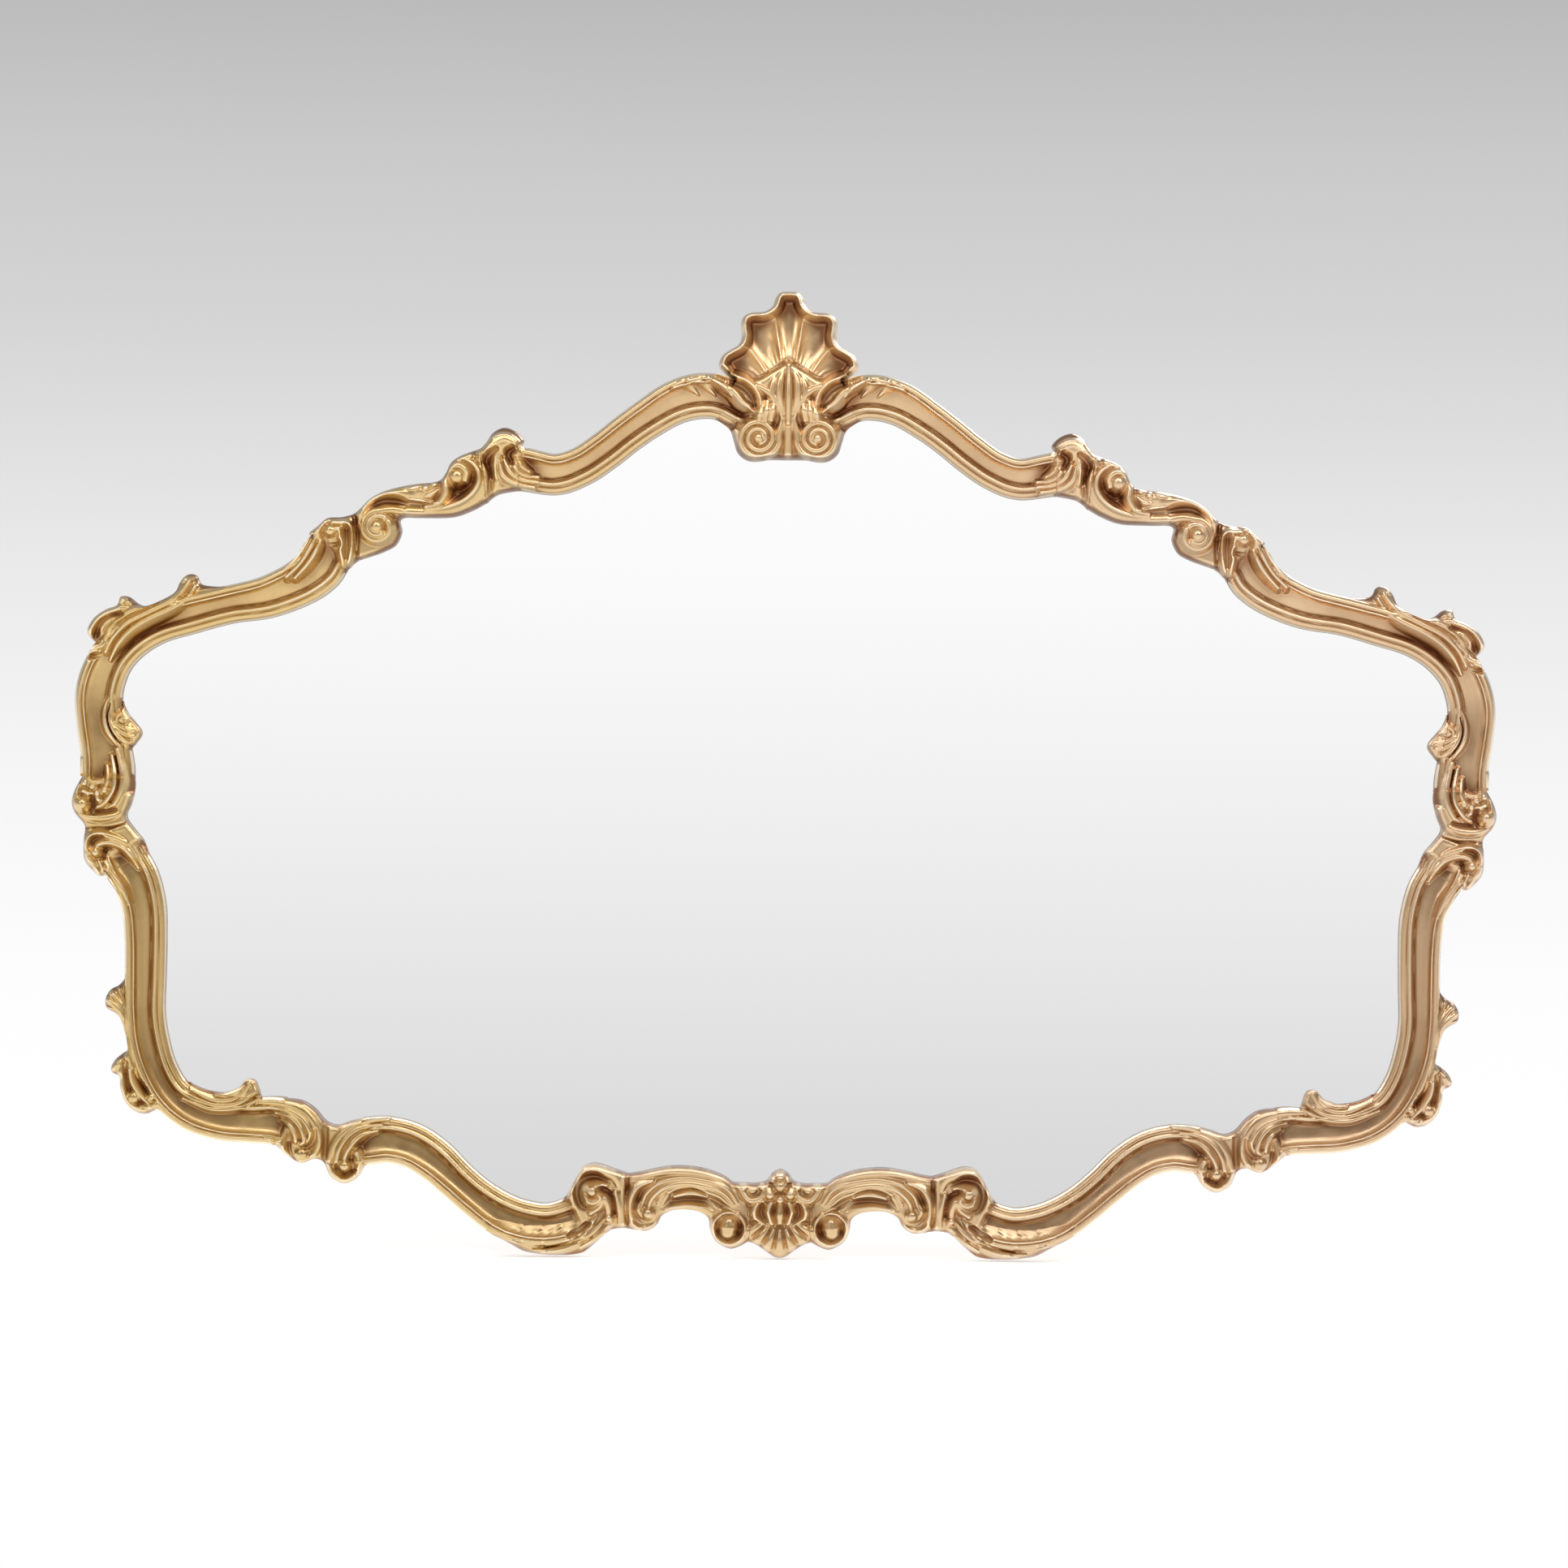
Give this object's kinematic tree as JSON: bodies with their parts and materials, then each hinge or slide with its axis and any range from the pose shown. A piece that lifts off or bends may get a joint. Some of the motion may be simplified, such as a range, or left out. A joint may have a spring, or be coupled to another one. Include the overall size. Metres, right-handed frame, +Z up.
{
  "type": "overmantel mirror",
  "caption": "Wide wall mirror in a scrolled gilt frame with a shell crest, on a screwed wooden ring with a board back held by turn buttons, and hanging rings.",
  "frame": {"origin": "on the wall plane that the bumpers rest on, at the middle of the frame's width and height", "axes": "+X right seen from the front, +Y back into the wall, +Z up; the mirror's face looks along -Y"},
  "size_m": [1.406, 0.055, 0.954],
  "materials": {
    "gilt_moulding": "metal leaf over red-brown clay and gesso, rubbed on the beads, dark in the coves",
    "gilt_carving": "metal leaf over red-brown clay and gesso, rubbed pale on the high edges",
    "mirror_plate": "clear silvered glass, painted grey on its back",
    "plywood": "sanded birch plywood, unfinished",
    "hardboard": "brown hardboard, smooth side out",
    "softwood": "sawn pine",
    "zinc_steel": "zinc plated steel",
    "brass": "brass plated wire",
    "cork": "pressed cork"
  },
  "bodies": {
    "root": {"crest_shell": "gilt_carving", "apron_keystone": "gilt_carving", "crest_rail_left": "gilt_moulding", "crest_rail_right": "gilt_moulding", "upper_knuckle_left": "gilt_carving", "upper_knuckle_right": "gilt_carving", "upper_scroll_left": "gilt_carving", "upper_scroll_right": "gilt_carving", "shoulder_knuckle_left": "gilt_carving", "shoulder_knuckle_right": "gilt_carving", "shoulder_rail_left": "gilt_moulding", "shoulder_rail_right": "gilt_moulding", "shoulder_leaf_left": "gilt_carving", "shoulder_leaf_right": "gilt_carving", "sight_leaf_left": "gilt_carving", "sight_leaf_right": "gilt_carving", "side_knuckle_left": "gilt_carving", "side_knuckle_right": "gilt_carving", "side_rail_left": "gilt_moulding", "side_rail_right": "gilt_moulding", "corner_leaf_left": "gilt_carving", "corner_leaf_right": "gilt_carving", "corner_curl_left": "gilt_carving", "corner_curl_right": "gilt_carving", "lower_knuckle_left": "gilt_carving", "lower_knuckle_right": "gilt_carving", "base_rail_left": "gilt_moulding", "base_rail_right": "gilt_moulding", "base_leaf_left": "gilt_carving", "base_leaf_right": "gilt_carving", "base_knuckle_left": "gilt_carving", "base_knuckle_right": "gilt_carving", "apron_arch_left": "gilt_carving", "apron_arch_right": "gilt_carving", "carcass_top": "plywood", "carcass_bottom": "plywood", "carcass_upper_left": "plywood", "carcass_upper_right": "plywood", "carcass_lower_left": "plywood", "carcass_lower_right": "plywood", "lap_screws": "zinc_steel", "mirror_plate": "mirror_plate", "setting_blocks": "softwood", "backing_board": "hardboard", "button_screws": "zinc_steel", "strap_hanger_left": "zinc_steel", "strap_hanger_right": "zinc_steel", "strap_screws": "zinc_steel", "wall_bumpers": "cork"},
    "turn_button_crest_left": {"turn_button_crest_left": "zinc_steel"},
    "turn_button_crest_right": {"turn_button_crest_right": "zinc_steel"},
    "turn_button_shoulder_left": {"turn_button_shoulder_left": "zinc_steel"},
    "turn_button_shoulder_right": {"turn_button_shoulder_right": "zinc_steel"},
    "turn_button_side_left": {"turn_button_side_left": "zinc_steel"},
    "turn_button_side_right": {"turn_button_side_right": "zinc_steel"},
    "turn_button_base_left": {"turn_button_base_left": "zinc_steel"},
    "turn_button_base_right": {"turn_button_base_right": "zinc_steel"},
    "hanging_ring_left": {"hanging_ring_left": "brass"},
    "hanging_ring_right": {"hanging_ring_right": "brass"}
  },
  "joints": [
    {"name": "turn_button_crest_left_turn", "type": "hinge", "parent": "root", "child": "turn_button_crest_left", "pos_m": [-0.11301, -0.00725, 0.36829], "axis": [0, 1, 0], "continuous": true},
    {"name": "turn_button_crest_right_turn", "type": "hinge", "parent": "root", "child": "turn_button_crest_right", "pos_m": [0.11301, -0.00725, 0.36829], "axis": [0, 1, 0], "continuous": true},
    {"name": "turn_button_shoulder_left_turn", "type": "hinge", "parent": "root", "child": "turn_button_shoulder_left", "pos_m": [-0.51275, -0.00725, 0.17239], "axis": [0, 1, 0], "continuous": true},
    {"name": "turn_button_shoulder_right_turn", "type": "hinge", "parent": "root", "child": "turn_button_shoulder_right", "pos_m": [0.51275, -0.00725, 0.17239], "axis": [0, 1, 0], "continuous": true},
    {"name": "turn_button_side_left_turn", "type": "hinge", "parent": "root", "child": "turn_button_side_left", "pos_m": [-0.6305, -0.00725, -0.205], "axis": [0, 1, 0], "continuous": true},
    {"name": "turn_button_side_right_turn", "type": "hinge", "parent": "root", "child": "turn_button_side_right", "pos_m": [0.6305, -0.00725, -0.205], "axis": [0, 1, 0], "continuous": true},
    {"name": "turn_button_base_left_turn", "type": "hinge", "parent": "root", "child": "turn_button_base_left", "pos_m": [-0.34152, -0.00725, -0.38599], "axis": [0, 1, 0], "continuous": true},
    {"name": "turn_button_base_right_turn", "type": "hinge", "parent": "root", "child": "turn_button_base_right", "pos_m": [0.34152, -0.00725, -0.38599], "axis": [0, 1, 0], "continuous": true},
    {"name": "hanging_ring_left_swing", "type": "hinge", "parent": "root", "child": "hanging_ring_left", "pos_m": [-0.67537, -0.0048, 0.09079], "axis": [1, 0, 0], "range_deg": [0, 180]},
    {"name": "hanging_ring_right_swing", "type": "hinge", "parent": "root", "child": "hanging_ring_right", "pos_m": [0.67537, -0.0048, 0.09079], "axis": [1, 0, 0], "range_deg": [0, 180]}
  ]
}
